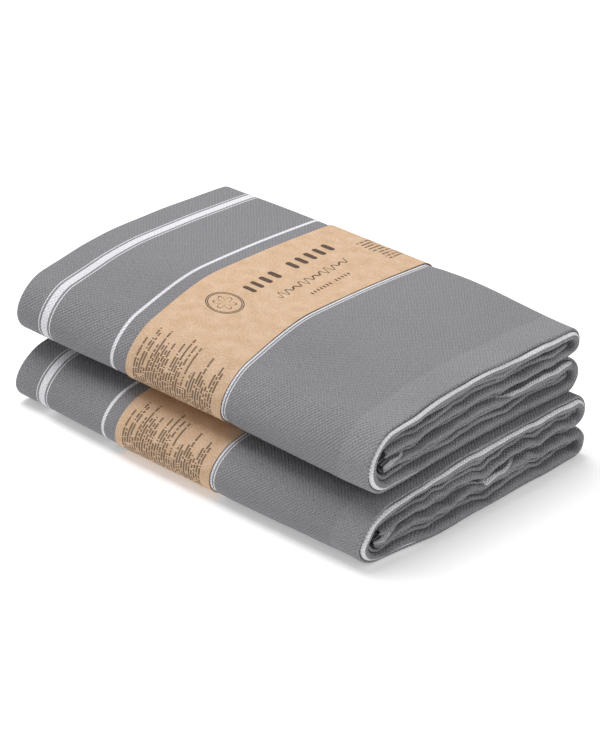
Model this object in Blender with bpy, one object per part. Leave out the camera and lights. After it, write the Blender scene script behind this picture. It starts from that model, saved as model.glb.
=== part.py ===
"""Pair of folded flat-woven bath towels, each held shut by a paper belly band.

Frame: +X runs along the pack to the open, hemmed end, -Y is the final fold, +Z is up.
Each towel is one sheet folded twice: an accordion of panels along its length, then two
gate folds and one book fold across its width.  Lengths are in metres.

Inside one towel a point has three coordinates: x along the pack, depth in from the
centre line of the outermost layer, and a station on the path across the width.
"""
import math

import bmesh
import bpy
import numpy as np

# Pack
PACK_LENGTH = 0.360
PACK_WIDTH = 0.255
STACK_STAGGER = -0.008
STACK_GAP = 0.0003
CROWN = 0.05

# Slump of each front fold: share of height lost, distance drawn back, drop, and where
# each starts and ends, counted forward from the middle of the pack
LOWER_SLUMP = (0.24, 0.014, 0.0)
UPPER_SLUMP = (0.24, 0.028, 0.005)
TAPER_RUN = (0.005, 0.118)
SETBACK_RUN = (-0.010, 0.120)
DROOP_RUN = (0.005, 0.105)
SETBACK_AT_BASE = 0.75

# Cloth
PANELS = 5
CLOTH_THICKNESS = 0.0021
LAYER_GAP = 0.00035
SELVEDGE_SETBACK = 0.0015
SWELL_RUN = 0.005

# Hem seams
HEM_INSET = 0.027
THREAD_WIDTH = 0.0004
THREAD_HEIGHT = 0.00035
SEAM_GAP = 0.0003
GROOVE_FLARE = 0.0001

# Belly band
BAND_LEFT = -0.067
BAND_RIGHT = 0.029
PAPER_THICKNESS = 0.0004
PAPER_CLEARANCE = 0.0003
BAND_EDGE_GAP = 0.0006
FLAP_MARGIN = 0.003
GLUE_THICKNESS = 0.0003
GLUE_GAP = 0.0003
GLUE_END_MARGIN = 0.004
GLUE_SIDE_MARGIN = 0.008

# Care label
LABEL_START = 0.045
LABEL_WIDTH = 0.035
LABEL_LENGTH = 0.010
LABEL_THICKNESS = 0.00025
LABEL_LOOP = 0.0006
LABEL_GAP = 0.0003

# Facets
FOLD_STEPS = 3
RUN_STEPS = 5
LOOP_STEPS = 6
SPINE_STEPS = 8
LABEL_STEPS = 4
SMOOTH_BELOW = math.radians(50)

# Derived sizes
HALF_T = CLOTH_THICKNESS / 2
LAYER_PITCH = CLOTH_THICKNESS + LAYER_GAP
GROOVE_WIDTH = THREAD_WIDTH + 2 * SEAM_GAP
GROOVE_DEPTH = THREAD_HEIGHT + SEAM_GAP
SWELL_START = BAND_RIGHT + BAND_EDGE_GAP
SWELL = PAPER_CLEARANCE + PAPER_THICKNESS
SKIN = HALF_T + SWELL
LAP_BUILD = PAPER_THICKNESS + 2 * GLUE_GAP + GLUE_THICKNESS
INNER_DEPTH = (PANELS - 1) * LAYER_PITCH
SPINE_RADIUS = (4 * PANELS - 1) / 2 * LAYER_PITCH
LOOP_RADIUS = (2 * PANELS - 1) / 2 * LAYER_PITCH
MIDDLE_Z = SKIN + SPINE_RADIUS
TOWEL_HEIGHT = 2 * MIDDLE_Z
SPINE_Y = -PACK_WIDTH / 2 + SPINE_RADIUS + SKIN
LOOP_Y = PACK_WIDTH / 2 - LAP_BUILD - LOOP_RADIUS - SKIN
FLAP_Y = SPINE_Y + SELVEDGE_SETBACK
PANEL_END = PACK_LENGTH / 2 - LAYER_PITCH / 2 - HALF_T
HEM_X = PACK_LENGTH / 2 - HEM_INSET
RIGHT_ANGLE = math.pi / 2

# Finishes: base colour and roughness
GREY_CLOTH = ((0.25, 0.24, 0.25), 0.9)
GREY_THREAD = ((0.31, 0.3, 0.31), 0.8)
KRAFT_PAPER = ((0.56, 0.36, 0.2), 0.75)
CLEAR_GLUE = ((0.72, 0.66, 0.5), 0.4)
LABEL_SATIN = ((0.8, 0.8, 0.79), 0.5)


def clear_scene():
    """Remove every object already in the scene."""
    for item in list(bpy.data.objects):
        bpy.data.objects.remove(item, do_unlink=True)


def make_material(name, finish):
    """Principled material with one colour and roughness."""
    colour, roughness = finish
    material = bpy.data.materials.new(name)
    material.use_nodes = True
    shader = material.node_tree.nodes["Principled BSDF"]
    shader.inputs["Base Color"].default_value = (*colour, 1.0)
    shader.inputs["Roughness"].default_value = roughness
    return material


def crown(points):
    """Raise the middle of the stack in proportion to height, leaving the base flat."""
    across = np.clip(1 - (2 * points[:, 1] / PACK_WIDTH) ** 2, 0, None)
    lifted = points.copy()
    lifted[:, 2] *= 1 + CROWN * across
    return lifted


def ease(values, run):
    """Smooth step from 0 to 1 over a run of values, with level ends."""
    share = np.clip((values - run[0]) / (run[1] - run[0]), 0, 1)
    return share * share * (3 - 2 * share)


def slump(points, amounts):
    """Flatten, draw back and lower the front of a pack, whose front fold holds fewer layers."""
    taper, setback, droop = amounts
    ahead = -points[:, 1]
    share = points[:, 2] / TOWEL_HEIGHT
    base_share = SETBACK_AT_BASE + (1 - SETBACK_AT_BASE) * share
    slumped = points.copy()
    slumped[:, 1] += setback * ease(ahead, SETBACK_RUN) * base_share
    slumped[:, 2] *= 1 - taper * ease(ahead, TAPER_RUN)
    slumped[:, 2] -= droop * ease(-slumped[:, 1], DROOP_RUN)
    return slumped


def add_pack(name, x, z, amounts):
    """Empty at the middle of one towel's base, which carries that towel's pieces."""
    pack = bpy.data.objects.new(name, None)
    pack.location = (x, 0.0, z)
    pack["slump"] = amounts
    bpy.context.collection.objects.link(pack)
    return pack


def centre_on_origin(packs):
    """Move the packs along y so that the whole stack lies evenly about x."""
    depths = [v.co.y for pack in packs for node in pack.children for v in node.data.vertices]
    for pack in packs:
        pack.location.y = -(min(depths) + max(depths)) / 2


def add_node(pack, name, points, faces, finish):
    """Make one outward-facing mesh object on a pack, with its own material."""
    place = np.array(pack.location)
    settled = crown(slump(points, pack["slump"]) + place) - place
    mesh = bpy.data.meshes.new(name)
    mesh.from_pydata(settled.tolist(), [], faces)
    shell = bmesh.new()
    shell.from_mesh(mesh)
    bmesh.ops.recalc_face_normals(shell, faces=shell.faces)
    shell.to_mesh(mesh)
    shell.free()
    mesh.shade_smooth()
    mesh.set_sharp_from_angle(angle=SMOOTH_BELOW)
    mesh.materials.append(make_material(name, finish))
    node = bpy.data.objects.new(name, mesh)
    node.parent = pack
    bpy.context.collection.objects.link(node)


def prism_faces(pairs, rings):
    """Faces of a solid swept through rings, each ring holding two matched edge lines."""
    ring = 2 * pairs
    faces = []
    for k in range(rings - 1):
        for i in range(ring):
            j = (i + 1) % ring
            base = k * ring
            faces.append((base + i, base + j, base + ring + j, base + ring + i))
    last = (rings - 1) * ring
    for i in range(pairs - 1):
        quad = (i, i + 1, ring - 2 - i, ring - 1 - i)
        faces.append(quad[::-1])
        faces.append(tuple(last + q for q in quad))
    return faces


def half_wrap(side):
    """Stations from one selvedge to the spine; side is 1 for the upper half.

    Each station is centre y, centre z, angle, radius, and share of the swell.
    """
    loop_z = MIDDLE_Z + side * (SPINE_RADIUS - LOOP_RADIUS)
    rows = []
    for y in np.linspace(FLAP_Y, LOOP_Y, RUN_STEPS + 1)[:-1]:
        rows.append((y, loop_z, -side * RIGHT_ANGLE, LOOP_RADIUS, 0.0))
    for i in range(LOOP_STEPS):
        share = i / LOOP_STEPS
        angle = side * RIGHT_ANGLE * (2 * share - 1)
        rows.append((LOOP_Y, loop_z, angle, LOOP_RADIUS, min(1.0, 2 * share)))
    for y in np.linspace(LOOP_Y, SPINE_Y, RUN_STEPS + 1)[:-1]:
        rows.append((y, MIDDLE_Z, side * RIGHT_ANGLE, SPINE_RADIUS, 1.0))
    return rows


def wrap_stations():
    """Stations right across the towel, from the upper selvedge to the lower one."""
    spine = []
    for i in range(SPINE_STEPS + 1):
        angle = RIGHT_ANGLE * (1 + 2 * i / SPINE_STEPS)
        spine.append((SPINE_Y, MIDDLE_Z, angle, SPINE_RADIUS, 1.0))
    return half_wrap(1) + spine + half_wrap(-1)[::-1]


def sweep_across(face_a, face_b):
    """Carry an outline in x, depth and swell flag along the path across the width."""
    outline = np.array(face_a + face_b[::-1])
    rings = []
    for y, z, angle, radius, share in wrap_stations():
        reach = radius - outline[:, 1] + SWELL * share * outline[:, 2]
        ring = np.empty((len(outline), 3))
        ring[:, 0] = outline[:, 0]
        ring[:, 1] = y + reach * math.cos(angle)
        ring[:, 2] = z + reach * math.sin(angle)
        rings.append(ring)
    return np.concatenate(rings), prism_faces(len(face_a), len(rings))


def groove_pairs(centre, depth, into):
    """Matched points of a stitch groove in one face and the flat face behind it."""
    half = GROOVE_WIDTH / 2
    floor = depth + into * GROOVE_DEPTH
    grooved = [(centre + half, depth), (centre + half, floor)]
    grooved += [(centre - half, floor), (centre - half, depth)]
    far = half + 3 * GROOVE_FLARE
    near = half + GROOVE_FLARE
    behind = depth + into * CLOTH_THICKNESS
    plain = [(centre + offset, behind) for offset in (far, near, -near, -far)]
    return grooved, plain


def fold_pairs(panel):
    """Matched points round the length fold after one panel."""
    side = 1 if panel % 2 else -1
    middle = (panel + 0.5) * LAYER_PITCH
    face_a = []
    face_b = []
    for i in range(FOLD_STEPS + 1):
        turn = RIGHT_ANGLE * (2 * i / FOLD_STEPS - 1)
        along = side * math.cos(turn)
        down = math.sin(turn)
        for face, sign in ((face_a, -side), (face_b, side)):
            radius = LAYER_PITCH / 2 + sign * HALF_T
            face.append((side * PANEL_END + radius * along, middle + radius * down, 0.0))
    return face_a, face_b


def accordion_faces():
    """Both faces of the sheet folded along its length: x, depth and swell flag."""
    grooved, plain = groove_pairs(HEM_X, -HALF_T, 1)
    face_a = [(PACK_LENGTH / 2, -HALF_T, 1.0)] + [(*point, 1.0) for point in grooved]
    face_b = [(PACK_LENGTH / 2, HALF_T, 0.0)] + [(*point, 0.0) for point in plain]
    for x, swell in ((SWELL_START + SWELL_RUN, 1.0), (SWELL_START, 0.0)):
        face_a.append((x, -HALF_T, swell))
        face_b.append((x, HALF_T, 0.0))
    for panel in range(PANELS - 1):
        fold_a, fold_b = fold_pairs(panel)
        face_a += fold_a
        face_b += fold_b
    grooved, plain = groove_pairs(-HEM_X, INNER_DEPTH + HALF_T, -1)
    face_a += [(*point, 0.0) for point in plain]
    face_b += [(*point, 0.0) for point in grooved]
    face_a.append((-PACK_LENGTH / 2, INNER_DEPTH - HALF_T, 0.0))
    face_b.append((-PACK_LENGTH / 2, INNER_DEPTH + HALF_T, 0.0))
    return face_a, face_b


def thread_faces(centre, depth, swell):
    """Two faces of a flat thread lying with its outer side at one depth."""
    half = THREAD_WIDTH / 2
    outer = [(centre + half, depth, swell), (centre - half, depth, swell)]
    inner_depth = depth + THREAD_HEIGHT
    inner = [(centre + half, inner_depth, swell), (centre - half, inner_depth, swell)]
    return outer, inner


def offset_line(line, distance):
    """Shift an open polyline sideways, with mitred corners."""
    line = np.asarray(line)
    steps = np.diff(line, axis=0)
    steps /= np.linalg.norm(steps, axis=1, keepdims=True)
    before = np.vstack([steps[:1], steps])
    after = np.vstack([steps, steps[-1:]])
    tangent = before + after
    tangent /= np.linalg.norm(tangent, axis=1, keepdims=True)
    normal = np.column_stack([tangent[:, 1], -tangent[:, 0]])
    scale = distance / np.sum(tangent * before, axis=1, keepdims=True)
    return line + normal * scale


def strip_along_x(line, thickness, start, width):
    """Solid strip with a y-z polyline as its middle, drawn out along x."""
    face_a = offset_line(line, thickness / 2)
    face_b = offset_line(line, -thickness / 2)
    outline = np.concatenate([face_a, face_b[::-1]])
    rings = [np.column_stack([np.full(len(outline), x), outline]) for x in (start, start + width)]
    return np.concatenate(rings), prism_faces(len(face_a), len(rings))


def arc(y, z, start, end, steps, reach_y, reach_z):
    """Points of an elliptical arc, angles in right angles from +Y."""
    angles = np.linspace(start, end, steps + 1) * RIGHT_ANGLE
    return [(y + reach_y * math.cos(a), z + reach_z * math.sin(a)) for a in angles]


def band_line():
    """Middle line of the paper, from its inner flap round the towel to its outer flap."""
    extra = HALF_T + PAPER_CLEARANCE + PAPER_THICKNESS / 2
    loop = LOOP_RADIUS + extra
    spine = SPINE_RADIUS + extra
    lower_z = MIDDLE_Z - SPINE_RADIUS + LOOP_RADIUS
    upper_z = MIDDLE_Z + SPINE_RADIUS - LOOP_RADIUS
    quarter = LOOP_STEPS // 2
    line = [(LOOP_Y + loop, upper_z - FLAP_MARGIN)]
    line += arc(LOOP_Y, lower_z, 0, -1, quarter, loop, loop)
    line += [(y, MIDDLE_Z - spine) for y in np.linspace(LOOP_Y, SPINE_Y, RUN_STEPS + 1)[1:-1]]
    line += arc(SPINE_Y, MIDDLE_Z, -1, -3, SPINE_STEPS, spine, spine)
    line += [(y, MIDDLE_Z + spine) for y in np.linspace(SPINE_Y, LOOP_Y, RUN_STEPS + 1)[1:-1]]
    line += arc(LOOP_Y, upper_z, 1, 0, quarter, loop + LAP_BUILD, loop)
    line.append((LOOP_Y + loop + LAP_BUILD, lower_z + FLAP_MARGIN))
    return line


def glue_line():
    """Middle line of the glue between the two flaps."""
    face = LOOP_Y + LOOP_RADIUS + HALF_T + PAPER_CLEARANCE + PAPER_THICKNESS
    y = face + GLUE_GAP + GLUE_THICKNESS / 2
    low = MIDDLE_Z - SPINE_RADIUS + LOOP_RADIUS + FLAP_MARGIN + GLUE_END_MARGIN
    high = MIDDLE_Z + SPINE_RADIUS - LOOP_RADIUS - FLAP_MARGIN - GLUE_END_MARGIN
    return [(y, low), (y, high)]


def label_line():
    """Middle line of the folded care label hanging from the upper selvedge."""
    z = MIDDLE_Z + LAYER_PITCH / 2
    start = FLAP_Y - LABEL_GAP
    turn = start - LABEL_LENGTH + LABEL_LOOP
    line = [(start, z + LABEL_LOOP)]
    line += arc(turn, z, 1, 3, LABEL_STEPS, LABEL_LOOP, LABEL_LOOP)
    line.append((start, z - LABEL_LOOP))
    return line


def build_cloth(pack, prefix):
    """One folded towel with its two hem seams and care label."""
    points, faces = sweep_across(*accordion_faces())
    add_node(pack, prefix + "towel_cloth", points, faces, GREY_CLOTH)
    points, faces = sweep_across(*thread_faces(HEM_X, -HALF_T, 1.0))
    add_node(pack, prefix + "outer_hem_thread", points, faces, GREY_THREAD)
    depth = INNER_DEPTH + HALF_T - THREAD_HEIGHT
    points, faces = sweep_across(*thread_faces(-HEM_X, depth, 0.0))
    add_node(pack, prefix + "inner_hem_thread", points, faces, GREY_THREAD)
    points, faces = strip_along_x(label_line(), LABEL_THICKNESS, LABEL_START, LABEL_WIDTH)
    add_node(pack, prefix + "care_label", points, faces, LABEL_SATIN)


def build_band(pack, prefix):
    """One paper belly band and the glue that closes it."""
    width = BAND_RIGHT - BAND_LEFT
    points, faces = strip_along_x(band_line(), PAPER_THICKNESS, BAND_LEFT, width)
    add_node(pack, prefix + "paper_band", points, faces, KRAFT_PAPER)
    start = BAND_LEFT + GLUE_SIDE_MARGIN
    width -= 2 * GLUE_SIDE_MARGIN
    points, faces = strip_along_x(glue_line(), GLUE_THICKNESS, start, width)
    add_node(pack, prefix + "band_glue", points, faces, CLEAR_GLUE)


def main():
    """Build both towels and their bands."""
    clear_scene()
    half = STACK_STAGGER / 2
    upper_z = TOWEL_HEIGHT + STACK_GAP
    packs = []
    for prefix, x, z, amounts in (
        ("lower_", -half, 0.0, LOWER_SLUMP),
        ("upper_", half, upper_z, UPPER_SLUMP),
    ):
        pack = add_pack(prefix + "pack", x, z, amounts)
        build_cloth(pack, prefix)
        build_band(pack, prefix)
        packs.append(pack)
    centre_on_origin(packs)


main()
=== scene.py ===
"""Looks for a stack of two folded flat-woven towels in paper belly bands.

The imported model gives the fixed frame.  Each towel here is one long sheet that is folded
in five along its length and in four across, worked out as a surface of two parameters,
and each band is a strip of kraft card carried round the folded towel.

Lengths are in metres.  Inside a pack, x runs to the open hemmed end, y to the back and z
up from the pack's own base.  Depth is measured inwards from the pack's outer skin.
"""
import logging
import math
from dataclasses import dataclass, field
from enum import Enum
from typing import Sequence, Union

import bpy
import numpy as np
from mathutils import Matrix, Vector


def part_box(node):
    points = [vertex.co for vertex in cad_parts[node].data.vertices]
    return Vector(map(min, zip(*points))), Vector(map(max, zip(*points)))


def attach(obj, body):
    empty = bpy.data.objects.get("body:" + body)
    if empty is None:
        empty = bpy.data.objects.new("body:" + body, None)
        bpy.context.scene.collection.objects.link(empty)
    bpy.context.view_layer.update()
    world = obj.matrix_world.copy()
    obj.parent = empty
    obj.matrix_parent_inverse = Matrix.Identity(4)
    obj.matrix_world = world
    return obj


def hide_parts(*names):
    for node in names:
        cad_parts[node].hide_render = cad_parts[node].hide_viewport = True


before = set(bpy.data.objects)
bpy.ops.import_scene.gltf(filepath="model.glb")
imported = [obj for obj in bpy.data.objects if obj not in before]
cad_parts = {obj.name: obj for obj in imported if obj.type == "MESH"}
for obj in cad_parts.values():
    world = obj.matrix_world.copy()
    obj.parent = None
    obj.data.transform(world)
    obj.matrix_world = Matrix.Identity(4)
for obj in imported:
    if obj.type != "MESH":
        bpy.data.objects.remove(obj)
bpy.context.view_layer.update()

LOG = logging.getLogger("towels")
MM = 0.001
Array = np.ndarray
Feed = Union[bpy.types.NodeSocket, float, tuple]


# ---------------------------------------------------------------- shared shape functions


def ease(value: Array, low: float, high: float) -> Array:
    """Smooth step: 0 at low, 1 at high, with level ends (3s^2 - 2s^3).

    Args:
        value: Where to read the step.
        low: Value at which it starts; it may be above high for a falling step.
        high: Value at which it ends.

    Returns:
        The step, from 0 to 1.
    """
    share = np.clip((value - low) / (high - low), 0.0, 1.0)
    return share * share * (3.0 - 2.0 * share)


def ripple(place: Array, seed: int, waves: Sequence[float]) -> Array:
    """Smooth wander along a line: the mean of one sine per wavelength, phases from a seed.

    Args:
        place: Distance along the line.
        seed: Fixes the phases.
        waves: Wavelengths, in the units of place.

    Returns:
        Values between -1 and 1.
    """
    phases = np.random.default_rng(seed).uniform(0, 2 * math.pi, len(waves))
    total = sum(np.sin(2 * math.pi * place / wave + phase) for wave, phase in zip(waves, phases))
    return total / len(waves) ** 0.5 * 0.8


def spread(*stretches: tuple[float, float, int]) -> Array:
    """Join evenly spaced stretches (start, end, steps) into one rising or falling list."""
    parts = [np.linspace(start, end, steps, endpoint=False) for start, end, steps in stretches]
    return np.concatenate([*parts, [stretches[-1][1]]])


def shell_faces(rows: int, columns: int) -> Array:
    """Quads that close two matched grids of points, one face over the other, into a sheet.

    Point (row, column) of the outer face has number row * columns + column, and the inner
    face follows it.  The rim joins the two faces all round.

    Args:
        rows: Points along the first parameter.
        columns: Points along the second.

    Returns:
        Quads as rows of four point numbers.
    """
    number = np.arange(rows * columns).reshape(rows, columns)
    a, b, c, d = number[:-1, :-1], number[1:, :-1], number[1:, 1:], number[:-1, 1:]
    outer = np.stack([a, b, c, d], axis=-1).reshape(-1, 4)
    under = rows * columns
    edge = np.concatenate([number[:, 0], number[-1, 1:], number[-2::-1, -1], number[0, -2:0:-1]])
    after = np.roll(edge, -1)
    rim = np.stack([after, edge, edge + under, after + under], axis=-1)
    return np.concatenate([outer, outer[:, ::-1] + under, rim])


def signed_volume(points: Array, quads: Array) -> float:
    """Volume inside closed quads: a sixth of the sum of each triangle's triple product."""
    total = 0.0
    for corner in ((0, 1, 2), (0, 2, 3)):
        p, q, r = (points[quads[:, index]] for index in corner)
        total += float(np.einsum("ij,ij->", p, np.cross(q, r)))
    return total / 6


def add_mesh(name: str, points: Array, quads: Array, flat: Array | None = None) -> bpy.types.Object:
    """Put points and quads into a mesh object at the origin, facing outwards.

    Args:
        name: The piece's name.
        points: One row of x, y, z for each point.
        quads: Four point numbers for each face; a closed shape or several.
        flat: Optional flat coordinates for each point, kept as the mesh's UV map.

    Returns:
        The new object.
    """
    if signed_volume(points, quads) < 0:
        quads = quads[:, ::-1]
    mesh = bpy.data.meshes.new(name)
    mesh.vertices.add(len(points))
    mesh.vertices.foreach_set("co", points.astype(np.float32).ravel())
    mesh.loops.add(quads.size)
    mesh.loops.foreach_set("vertex_index", quads.astype(np.int32).ravel())
    mesh.polygons.add(len(quads))
    mesh.polygons.foreach_set("loop_start", np.arange(0, quads.size, 4, dtype=np.int32))
    mesh.update(calc_edges=True)
    if flat is not None:
        layer = mesh.uv_layers.new(name="flat")
        layer.data.foreach_set("uv", flat[quads.ravel()].astype(np.float32).ravel())
    mesh.shade_smooth()
    mesh.set_sharp_from_angle(angle=math.radians(55))
    piece = bpy.data.objects.new(name, mesh)
    bpy.context.scene.collection.objects.link(piece)
    return piece


# ---------------------------------------------------------------- the folded pack


class Tier(Enum):
    """Which towel of the stack a pack is."""

    LOWER = "lower"
    UPPER = "upper"


@dataclass(frozen=True)
class PackForm:
    """Outer form of one folded towel: where its skin runs, and the paths across it.

    The skin's section is two straight runs, one half turn round the spine at the front,
    and two half turns, the loops, at the back, from which the flaps return inside.
    """

    tier: Tier
    spine_skin: float = 24.325 * MM
    loop_skin: float = 12.075 * MM
    swell: float = 0.7 * MM
    lap: float = 1.3 * MM
    stack_gap: float = 0.3 * MM
    crown: float = 0.05
    width: float = 255 * MM
    selvedge_setback: float = 1.5 * MM
    flap_room: float = 11.9 * MM
    flap_reach: float = 11.2 * MM

    @property
    def middle(self) -> float:
        """Height of the pack's middle above its own base."""
        return self.spine_skin + self.swell

    @property
    def base(self) -> float:
        """Height of the pack's base in the stack, before the crown."""
        return 2 * self.middle + self.stack_gap if self.tier is Tier.UPPER else 0.0

    @property
    def cloth_box(self) -> tuple[Vector, Vector]:
        """Corners of the pack's cloth in the frame."""
        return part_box(self.tier.value + "_towel_cloth")

    @property
    def centre_x(self) -> float:
        """Middle of the pack along x."""
        low, high = self.cloth_box
        return (low.x + high.x) / 2

    @property
    def shift_y(self) -> float:
        """How far the stack was moved along y to lie evenly about x."""
        back = max(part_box(tier.value + "_paper_band")[1].y for tier in Tier)
        return back - self.width / 2

    @property
    def half_length(self) -> float:
        """Half the pack's length."""
        low, high = self.cloth_box
        return (high.x - low.x) / 2

    @property
    def band_edge(self) -> float:
        """Where the band ends towards the open end, past which the cloth swells."""
        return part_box(self.tier.value + "_paper_band")[1].x - self.centre_x

    @property
    def spine_y(self) -> float:
        """Centre of the front half turn."""
        return -self.width / 2 + self.spine_skin + self.swell

    @property
    def loop_y(self) -> float:
        """Centre of the back half turns."""
        return self.width / 2 - self.lap - self.loop_skin - self.swell

    @property
    def flap_y(self) -> float:
        """Where the flaps' selvedges end beside the front half turn."""
        return self.spine_y + self.selvedge_setback

    def settle(self, points: Array) -> Array:
        """Place pack points in the stack, and crown it.

        Heights grow by the crown's share times 1 - (2y / width)^2, so the middle of the
        stack stands proud and its base stays flat.

        Args:
            points: Points in the pack's own x, y, z.

        Returns:
            Points in the frame.
        """
        placed = points + np.array([self.centre_x, 0.0, self.base])
        across = np.clip(1 - (2 * placed[..., 1] / self.width) ** 2, 0, None)
        placed[..., 2] *= 1 + self.crown * across
        placed[..., 1] += self.shift_y
        return placed


@dataclass(frozen=True)
class Stations:
    """Places along the way round a pack, from one selvedge to the other, as arrays.

    A station is a centre, an outward angle and a skin radius.  A straight run is an arc
    whose centre moves while its angle stays upright.
    """

    form: PackForm
    centre_y: Array
    centre_z: Array
    angle: Array
    radius: Array
    share: Array
    travel: Array

    @property
    def flap(self) -> Array:
        """1 on the flaps inside the pack, easing to 0 round the loops."""
        return 1.0 - self.share

    @property
    def upper(self) -> Array:
        """1 on the upper half of the pack and 0 on the lower, easing round the spine."""
        half = np.sign(self.centre_z - self.form.middle)
        return ease(np.where(self.radius < self.form.spine_skin - MM, half, np.sin(self.angle)), -0.4, 0.4)

    @property
    def middle_y(self) -> Array:
        """y of each station at the middle of its layers."""
        return self.centre_y + (self.radius - 6 * MM) * np.cos(self.angle)

    def place(self, x: Array, depth: Array) -> Array:
        """Points at given x and depth, where the last axis of both arrays is the station.

        A point is its station's centre plus (radius - depth) times the outward direction.
        The flaps reach further forward the deeper they lie, to fill the front fold.

        Args:
            x: x values.
            depth: Depth in from the skin.

        Returns:
            Points with x, y and z on a new last axis.
        """
        form = self.form
        height = depth + (form.spine_skin - form.loop_skin) - form.loop_skin
        room = np.sqrt(np.clip(1 - (height / form.flap_room) ** 2, 0, None))
        reach = form.flap_reach * room * ease(height, 2.4 * MM, 4.6 * MM)
        full = form.loop_y - form.flap_y
        stretch = 1 + (reach / full) * (self.share == 0)
        y = form.loop_y + (self.centre_y - form.loop_y) * stretch
        arm = self.radius - depth
        y = np.where(self.share == 0, y, self.centre_y) + arm * np.cos(self.angle)
        z = self.centre_z + arm * np.sin(self.angle)
        return np.stack([np.broadcast_to(x, y.shape), y, z], axis=-1)


@dataclass(frozen=True)
class WrapPath:
    """The whole way round a pack, laid out as stations."""

    form: PackForm
    run_steps: int = 48
    loop_steps: int = 16
    spine_steps: int = 30

    def _half(self, side: float) -> Array:
        """Stations of one half pack from selvedge to spine, as five rows of numbers.

        Args:
            side: 1 for the upper half and -1 for the lower one.

        Returns:
            Centre y, centre z, angle, radius and share of the swell.
        """
        form = self.form
        loop_z = form.middle + side * (form.spine_skin - form.loop_skin)
        right = math.pi / 2
        hem = form.flap_y + np.array([0, 0.12, 0.4, 0.9]) * MM
        flap = np.linspace(form.flap_y + 4 * MM, form.loop_y, self.run_steps, endpoint=False)
        turn = np.linspace(-side * right, side * right, self.loop_steps, endpoint=False)
        run = np.linspace(form.loop_y, form.spine_y, self.run_steps, endpoint=False)
        parts = (
            (np.concatenate([hem, flap]), loop_z, -side * right, form.loop_skin, 0.0),
            (form.loop_y, loop_z, turn, form.loop_skin, ease(turn * side, -right, 0.0)),
            (run, form.middle, side * right, form.spine_skin, 1.0),
        )
        return np.concatenate([np.stack(np.broadcast_arrays(*part)) for part in parts], axis=1)

    def stations(self) -> Stations:
        """Stations right across the towel, from the upper selvedge to the lower one."""
        form = self.form
        turn = np.linspace(0.5, 1.5, self.spine_steps + 1) * math.pi
        spine = np.stack(np.broadcast_arrays(form.spine_y, form.middle, turn, form.spine_skin, 1.0))
        lower = self._half(-1.0)[:, ::-1]
        lower[2] += 2 * math.pi
        rows = np.concatenate([self._half(1.0), spine, lower], axis=1)
        centre_y, centre_z, angle, radius, share = rows
        y = centre_y + radius * np.cos(angle)
        z = centre_z + radius * np.sin(angle)
        travel = np.concatenate([[0.0], np.cumsum(np.hypot(np.diff(y), np.diff(z)))])
        return Stations(form, centre_y, centre_z, angle, radius, share, travel)

    def at(self, travel: Array) -> Stations:
        """Stations at given distances along the way, read between the laid out ones."""
        known = self.stations()
        columns = (known.centre_y, known.centre_z, known.angle, known.radius, known.share)
        read = [np.interp(travel, known.travel, column) for column in columns]
        return Stations(self.form, *read, travel)


# ---------------------------------------------------------------- the cloth


@dataclass(frozen=True)
class EndLook:
    """How one towel lies: a seed for its smooth wander, and how far it moves.

    Taper, setback and droop are given at the closed end, at the band and at the open end.
    Base_share is the part of the setback that the pack's base has.
    """

    seed: int
    bulge: float
    front_retreat: float
    fall: float
    wave: float
    pucker: float
    taper: tuple[float, float, float]
    setback: tuple[float, float, float]
    droop: tuple[float, float, float]
    base_share: float
    tuck: float = 9 * MM
    taper_run: tuple[float, float] = (5 * MM, 118 * MM)
    setback_run: tuple[float, float] = (-10 * MM, 120 * MM)
    droop_run: tuple[float, float] = (5 * MM, 105 * MM)


END_LOOKS = {
    Tier.LOWER: EndLook(
        seed=41,
        bulge=0.1 * MM,
        front_retreat=7 * MM,
        fall=0.0,
        wave=2.2 * MM,
        pucker=1.3 * MM,
        taper=(0.24, 0.26, 0.18),
        setback=(17 * MM, 11 * MM, 13 * MM),
        droop=(0.0, 0.0, 0.0),
        base_share=0.42,
    ),
    Tier.UPPER: EndLook(
        seed=17,
        bulge=1.1 * MM,
        front_retreat=1 * MM,
        fall=1.5 * MM,
        wave=1.4 * MM,
        pucker=0.6 * MM,
        taper=(0.15, 0.27, 0.08),
        setback=(26 * MM, 32 * MM, 22 * MM),
        droop=(3 * MM, 6 * MM, 3 * MM),
        base_share=0.75,
    ),
}


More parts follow.
